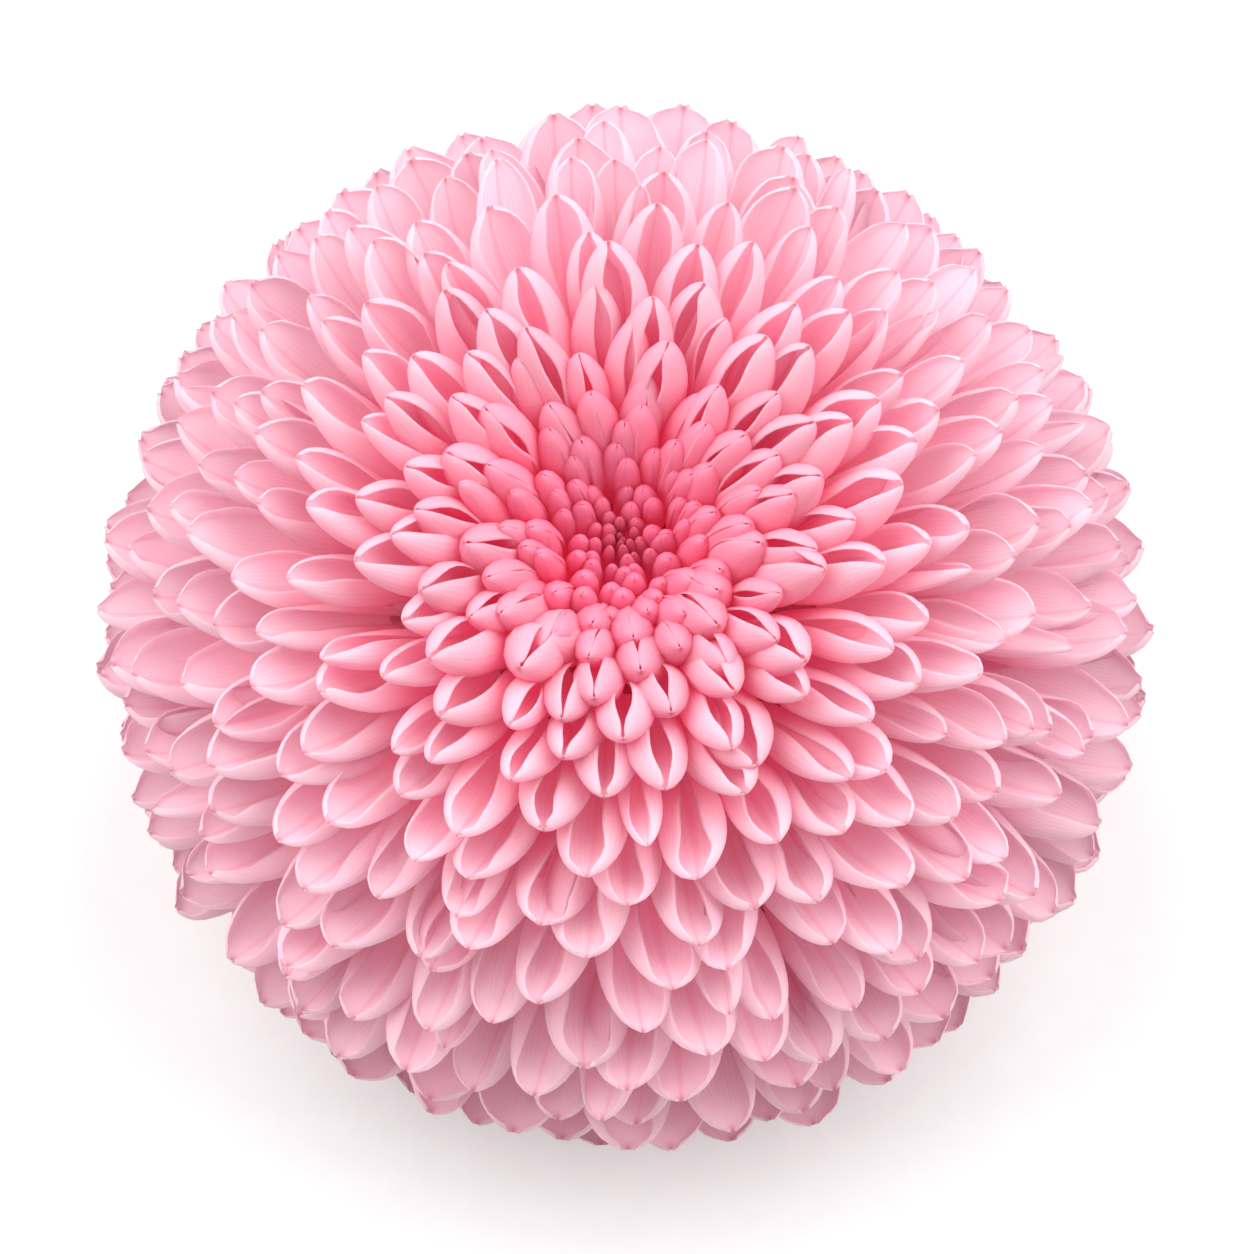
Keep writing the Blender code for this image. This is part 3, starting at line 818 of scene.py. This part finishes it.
def turned_form(name, profile, sides, ribs=0, rib_depth=0.0):
    """An object: a profile of (radius, height), from its top down, carried round the axis, with the
    radius waved by a cosine where there are ribs. Its first and last points lie on the axis, and
    fans of triangles close the form there."""
    turn = np.arange(sides) * 2.0 * np.pi / sides
    radius, height = profile[1:-1, :1] * (1.0 + rib_depth * np.cos(ribs * turn)), profile[1:-1, 1:]
    rings = np.stack([radius * np.cos(turn), radius * np.sin(turn), height + 0.0 * turn], axis=-1)
    points = np.concatenate([[[0.0, 0.0, profile[0, 1]]], rings.reshape(-1, 3), [[0.0, 0.0, profile[-1, 1]]]])
    points[:, :2] += axis
    ring, place = np.meshgrid(np.arange(len(rings) - 1), np.arange(sides), indexing="ij")
    here, after = 1 + ring * sides + place, 1 + ring * sides + (place + 1) % sides
    skin = np.stack([here, here + sides, after + sides, after], axis=-1).reshape(-1, 4)
    j, k, last = np.arange(sides), (np.arange(sides) + 1) % sides, len(points) - 1
    top = np.stack([0 * j, 1 + j, 1 + k], axis=-1)
    bottom = np.stack([last + 0 * j, last - sides + k, last - sides + j], axis=-1)
    faces = skin.tolist() + top.tolist() + bottom.tolist()
    from_axis = np.hypot(*(points[:, :2] - axis).T) / FROM_AXIS_SPAN
    print(name, "has", len(faces), "faces,", "from", round(profile[-1, 1] / MM, 1), "mm up")
    return surface_object(name, points, faces, {"from_axis": np.stack([from_axis] * 3, axis=-1)}, 0)


CORE_SHARE = 0.70
CORE_ANGLES = np.radians(np.linspace(0.0, 120.0, 26))
SEAT_RADIUS = 11.5 * MM
SEAT_HEIGHT = 6.9 * MM
ROUND_SIDES = 48

core = CORE_SHARE * np.stack(head_profile(CORE_ANGLES), axis=-1) + [0.0, CENTRE_HEIGHT]
core = np.concatenate([core, [[SEAT_RADIUS, SEAT_HEIGHT], [0.0, SEAT_HEIGHT]]])

# %% [markdown]
# ## Receptacle finish and piece
#
# A receptacle is soft pith under a thin skin, dull and unevenly tinted. It is seen only in the light that the
# petals let through, so it is painted pink: a darker pink that stands in for that light and for the shade in the
# gaps between florets. A noise texture on Object coordinates, in patches a bit over a millimetre wide, is enough
# for what shows of it.

# %% Receptacle finish and piece
TISSUE_MOTTLE = 1.2 * MM


def receptacle_finish():
    """Soft tissue, painted pink for the light through the petals and the shade in the gaps, with a fine mottle from
    a noise texture, duller than a petal.
    """
    material, tree = new_finish("receptacle_tissue")
    place = add(tree, "ShaderNodeTexCoord", {}).outputs["Object"]
    mottle = add(tree, "ShaderNodeTexNoise", {"Vector": place, "Scale": 1.0 / TISSUE_MOTTLE, "Detail": 3.0})
    ramp = add(tree, "ShaderNodeValToRGB", {"Fac": mottle.outputs["Fac"]})
    # This pink is painted light and shade: light through the petals and shade in the gaps
    set_ramp(ramp, [(0.35, "#c4607a"), (0.65, "#d98298")])
    skin = add(tree, "ShaderNodeBsdfPrincipled", {"Base Color": ramp.outputs[0], "Roughness": 0.7, "IOR": SKIN_IOR})
    add(tree, "ShaderNodeOutputMaterial", {"Surface": skin.outputs[0]})
    return material


receptacle = turned_form("receptacle", core, ROUND_SIDES)
receptacle.data.materials.append(receptacle_finish())
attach(receptacle, "root")
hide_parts("floret_head")

# %% [markdown]
# ## The involucre
#
# Under the florets sits a shallow green cup, the involucre, built of small leaves called phyllaries
# that overlap in rings. Here two rings of twelve lie on a turned cup. Each is a lance-shaped blade,
# made like a floret from a loop of points along a line, a little hollow above. Below the cup the
# stem has been cut off short, just over the floor. It is a turned form with ten faint ribs.

# %% Involucre shapes
CUP = np.array([(0.0, 6.5), (4.5, 6.5), (7.2, 6.3), (8.0, 5.8), (7.6, 5.35), (6.6, 5.0), (5.6, 4.7),
                (4.4, 4.4), (3.4, 4.2), (0.0, 4.2)]) * MM
STEM = np.array([(0.0, 4.6), (2.6, 4.6), (2.95, 4.35), (2.75, 4.0), (2.6, 3.4), (2.55, 2.4), (2.6, 1.4),
                 (2.45, 1.2), (1.7, 1.2), (0.9, 1.22), (0.0, 1.25)]) * MM
# Each ring: root (radius, height), tip (radius, height), width, and turn in steps of the ring
BRACT_RINGS = (((5.8, 4.9), (12.2, 5.3), 4.6, 0.0), ((3.4, 4.0), (9.2, 3.8), 3.5, 0.5))
BRACT_COUNT = 12
BRACT_ALONG = np.array([0.0, 0.22, 0.45, 0.68, 0.87, 1.0])
BRACT_ACROSS = np.array([-1.0, -0.45, 0.0, 0.45, 1.0])
BRACT_LOOP = np.concatenate([BRACT_ACROSS, BRACT_ACROSS[::-1]])
BRACT_INNER = np.repeat([0.0, 1.0], len(BRACT_ACROSS))
BRACT_THICKNESS = 0.5 * MM
BRACT_HOLLOW = 0.35 * MM
BRACT_ARCH = 0.25 * MM
# The blade's width at its root, and a little over 1, so that it doesn't come to nothing at the tip
BRACT_ROOT, BRACT_TIP = 0.45, 1.02


def bract_ring(root, tip, width, shift):
    """Points by bract, row and loop place: the line from root to tip, arched down by a parabola,
    with the blade's width across it and its hollow and thickness above it."""
    root, tip = np.array(root) * MM, np.array(tip) * MM
    line = root + (tip - root) * BRACT_ALONG[:, None]
    ahead = (tip - root) / np.hypot(*(tip - root))
    share = BRACT_ROOT + (1.0 - BRACT_ROOT) * smooth_step(BRACT_ALONG, 0.0, 0.5)
    share = share * np.sqrt(BRACT_TIP - smooth_step(BRACT_ALONG, 0.4, 1.0))
    lift = BRACT_HOLLOW * BRACT_LOOP ** 2 + BRACT_THICKNESS * BRACT_INNER * (1.0 - RIM_THIN * np.abs(BRACT_LOOP))
    lift = lift * share[:, None] - (4.0 * BRACT_ARCH * BRACT_ALONG * (1.0 - BRACT_ALONG))[:, None]
    across = width * MM / 2.0 * share[:, None] * BRACT_LOOP
    radius, height = line[:, :1] - ahead[1] * lift, line[:, 1:] + ahead[0] * lift
    turn = ((np.arange(BRACT_COUNT) + shift) * 2.0 * np.pi / BRACT_COUNT)[:, None, None]
    points = [radius * np.cos(turn) - across * np.sin(turn), radius * np.sin(turn) + across * np.cos(turn)]
    points = np.stack([*points, height + 0.0 * turn], axis=-1)
    points[..., :2] += axis
    return rounding_cage(points)


# %% [markdown]
# ## Green finishes
#
# Phyllaries and stem are living green skin, the stem's a little smoother. Across a phyllary the
# green pales to a dry, papery margin, and at the cut end of the stem the rind gives way to pale
# pith. Both are one ramp over one number at the vertices, moved a little by noise so that the
# borders aren't even, and one function makes both.

# %% Involucre finishes
LEAF_GRAIN, STEM_GRAIN = 0.5 * MM, 0.4 * MM
MOTTLE_SHARE = 0.16


def green_finish(name, stops, value, grain, roughness):
    """Living green skin: colour by one value of the surface, mottled by noise, with a fine grain."""
    material, tree = new_finish(name)
    place = add(tree, "ShaderNodeTexCoord", {}).outputs["Object"]
    read = add(tree, "ShaderNodeAttribute", {}, attribute_name=value).outputs["Vector"]
    first = add(tree, "ShaderNodeSeparateXYZ", {"Vector": read}).outputs["X"]
    mottle = add(tree, "ShaderNodeTexNoise", {"Vector": place, "Scale": 1.0 / grain, "Detail": 3.0}).outputs["Fac"]
    moved = add(tree, "ShaderNodeMath", {0: mottle, 1: MOTTLE_SHARE, 2: first}, operation="MULTIPLY_ADD").outputs[0]
    ramp = add(tree, "ShaderNodeValToRGB", {"Fac": moved})
    set_ramp(ramp, stops)
    relief = add(tree, "ShaderNodeBump", {"Height": mottle, "Strength": 0.4, "Distance": 0.1 * MM})
    skin = add(tree, "ShaderNodeBsdfPrincipled", {
        "Base Color": ramp.outputs[0], "Normal": relief.outputs[0], "Roughness": roughness, "IOR": SKIN_IOR,
        "Sheen Weight": 0.15,
    })
    add(tree, "ShaderNodeOutputMaterial", {"Surface": skin.outputs[0]})
    return material


# Leaf skin, grown: green in the middle of the blade, with a papery margin that has no green cells
phyllary_skin = green_finish("phyllary_leaf_skin", [(0.3, "#7f9a57"), (0.75, "#93a96a"), (0.95, "#cfcda6"),
                                                    (1.0, "#b9a27c")], "toward_rim", LEAF_GRAIN, 0.6)
# Stem rind, grown, and pith, cut: "from_axis" is in mm over 3, so the pith lies under 0.75
stem_rind = green_finish("stem_rind_and_cut_pith", [(0.3, "#e6ead0"), (0.72, "#d3dcb0"), (0.84, "#8da35e"),
                                                    (0.92, "#6d8b47")], "from_axis", STEM_GRAIN, 0.55)

# %% [markdown]
# ## Putting the involucre together
#
# Cup and stem are turned, the stem with faint ribs as a living one has, and the phyllaries are one
# object of many blades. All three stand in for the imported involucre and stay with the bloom.

# %% Involucre pieces
STEM_SIDES, STEM_RIBS, RIB_DEPTH = 60, 10, 0.035

cup = turned_form("involucre_cup", CUP, ROUND_SIDES)
stem = turned_form("cut_stem", STEM, STEM_SIDES, ribs=STEM_RIBS, rib_depth=RIB_DEPTH)
bracts = np.concatenate([bract_ring(*ring) for ring in BRACT_RINGS])
phyllaries = blades_object("phyllaries", bracts, {"toward_rim": (np.abs(BRACT_LOOP), 0.0, 0.0)})
for piece, finish in ((cup, stem_rind), (stem, stem_rind), (phyllaries, phyllary_skin)):
    piece.data.materials.append(finish)
    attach(piece, "root")
    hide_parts("involucre")

# %% [markdown]
# ## Floor and light
#
# The floor is plain and nearly white. Two broad lamps, to the left and right and somewhat behind
# the bloom, light its far side and its shoulders. Only the floor close to the bloom is hidden from
# both, which keeps the shadow small and soft. An even, dim white sky fills in, as a tent does.

# %% Floor, light and colour management
FLOOR_SIZE = 6.0
PAPER_FIBRE = 3.0 * MM
LAMP_STRENGTH = 2.8
LAMP_ANGLE = np.radians(70.0)
LAMP_TILT = np.radians(47.0)
LAMP_TURN = np.radians(60.0)
SKY_STRENGTH = 0.49

floor_mesh = bpy.data.meshes.new("floor")
half = FLOOR_SIZE / 2.0
floor_mesh.from_pydata([(-half, -half, 0), (half, -half, 0), (half, half, 0), (-half, half, 0)], [], [(0, 1, 2, 3)])
floor = bpy.data.objects.new("floor", floor_mesh)
bpy.context.scene.collection.objects.link(floor)

floor_paint, tree = new_finish("matt_white_paper")
fibre = add(tree, "ShaderNodeTexNoise", {"Vector": add(tree, "ShaderNodeTexCoord", {}).outputs["Object"],
                                         "Scale": 1.0 / PAPER_FIBRE})
tint = add(tree, "ShaderNodeValToRGB", {"Fac": fibre.outputs["Fac"]})
set_ramp(tint, [(0.3, "#f5f5f5"), (0.7, "#f7f7f7")])
paper = add(tree, "ShaderNodeBsdfPrincipled", {"Base Color": tint.outputs[0], "Roughness": 0.9})
add(tree, "ShaderNodeOutputMaterial", {"Surface": paper.outputs[0]})
floor_mesh.materials.append(floor_paint)

for side_name, way in (("left", 1.0), ("right", -1.0)):
    lamp = bpy.data.objects.new(f"{side_name}_lamp", bpy.data.lights.new(f"{side_name}_lamp", "SUN"))
    bpy.context.scene.collection.objects.link(lamp)
    lamp.data.energy = LAMP_STRENGTH
    lamp.data.angle = LAMP_ANGLE
    lamp.rotation_euler = (-LAMP_TILT, 0.0, way * LAMP_TURN)

sky = bpy.data.worlds.new("white_tent")
bpy.context.scene.world = sky
sky.use_nodes = True
tree = sky.node_tree
tree.nodes.clear()
white = add(tree, "ShaderNodeBackground", {"Color": (1.0, 1.0, 1.0, 1.0), "Strength": SKY_STRENGTH})
add(tree, "ShaderNodeOutputWorld", {"Surface": white.outputs[0]})
bpy.context.scene.view_settings.view_transform = "Standard"
print("lamp", LAMP_STRENGTH, "sky", SKY_STRENGTH)
